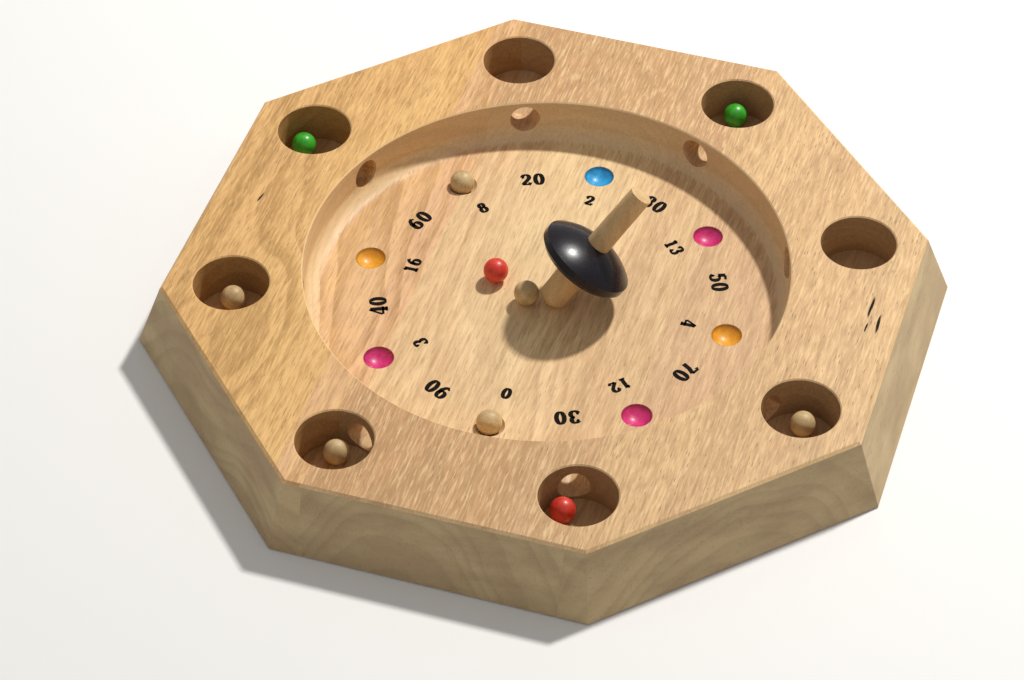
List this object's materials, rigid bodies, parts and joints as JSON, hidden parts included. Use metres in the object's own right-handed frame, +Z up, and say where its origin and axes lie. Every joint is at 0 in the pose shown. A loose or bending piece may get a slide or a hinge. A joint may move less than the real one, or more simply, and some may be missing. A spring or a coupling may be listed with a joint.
{
  "type": "table roulette",
  "caption": "Octagonal wooden table roulette: a round well linked by tunnels to corner pockets, with coloured dimples, a leaning spinning top and loose balls.",
  "frame": {"origin": "centre of the underside of the board", "axes": "+Z up out of the well; X and Y square to the flats of the octagon, with the staves and their grain running along Y"},
  "size_m": [0.2996, 0.2996, 0.0627],
  "materials": {
    "wood_west": "satin",
    "wood_middle": "satin",
    "wood_east": "satin",
    "black_lacquer": "gloss",
    "spindle_wood": "satin",
    "ball_green": "satin",
    "ball_red": "satin",
    "ball_plain": "satin"
  },
  "bodies": {
    "board": {"stave_west": "wood_west", "stave_middle": "wood_middle", "stave_east": "wood_east"},
    "top": {"top_disc": "black_lacquer", "top_spindle": "spindle_wood"},
    "ball_green_1": {"ball_green_1": "ball_green"},
    "ball_green_2": {"ball_green_2": "ball_green"},
    "ball_red_1": {"ball_red_1": "ball_red"},
    "ball_red_2": {"ball_red_2": "ball_red"},
    "ball_plain_1": {"ball_plain_1": "ball_plain"},
    "ball_plain_2": {"ball_plain_2": "ball_plain"},
    "ball_plain_3": {"ball_plain_3": "ball_plain"},
    "ball_plain_4": {"ball_plain_4": "ball_plain"},
    "ball_plain_5": {"ball_plain_5": "ball_plain"},
    "ball_plain_6": {"ball_plain_6": "ball_plain"}
  },
  "joints": [
    {"name": "top_spin", "type": "hinge", "parent": "board", "child": "top", "pos_m": [0.0054, -0.0027, 0.01656], "axis": [0.5152, 0.3295, 0.7912], "continuous": true},
    {"name": "ball_green_1_lift", "type": "slide", "parent": "board", "child": "ball_green_1", "axis": [0, 0, 1], "range_m": [0, 0.03]},
    {"name": "ball_green_2_lift", "type": "slide", "parent": "board", "child": "ball_green_2", "axis": [0, 0, 1], "range_m": [0, 0.03]},
    {"name": "ball_red_1_lift", "type": "slide", "parent": "board", "child": "ball_red_1", "axis": [0, 0, 1], "range_m": [0, 0.03]},
    {"name": "ball_red_2_roll", "type": "slide", "parent": "board", "child": "ball_red_2", "axis": [-0.895, 0.446, 0], "range_m": [0, 0.0674]},
    {"name": "ball_plain_1_lift", "type": "slide", "parent": "board", "child": "ball_plain_1", "axis": [0, 0, 1], "range_m": [0, 0.03]},
    {"name": "ball_plain_2_lift", "type": "slide", "parent": "board", "child": "ball_plain_2", "axis": [0, 0, 1], "range_m": [0, 0.03]},
    {"name": "ball_plain_3_lift", "type": "slide", "parent": "board", "child": "ball_plain_3", "axis": [0, 0, 1], "range_m": [0, 0.03]},
    {"name": "ball_plain_4_roll", "type": "slide", "parent": "board", "child": "ball_plain_4", "axis": [-0.3099, 0.9508, 0], "range_m": [0, 0.0918]},
    {"name": "ball_plain_5_lift", "type": "slide", "parent": "board", "child": "ball_plain_5", "axis": [0, 0, 1], "range_m": [0, 0.03]},
    {"name": "ball_plain_6_lift", "type": "slide", "parent": "board", "child": "ball_plain_6", "axis": [0, 0, 1], "range_m": [0, 0.03]}
  ]
}
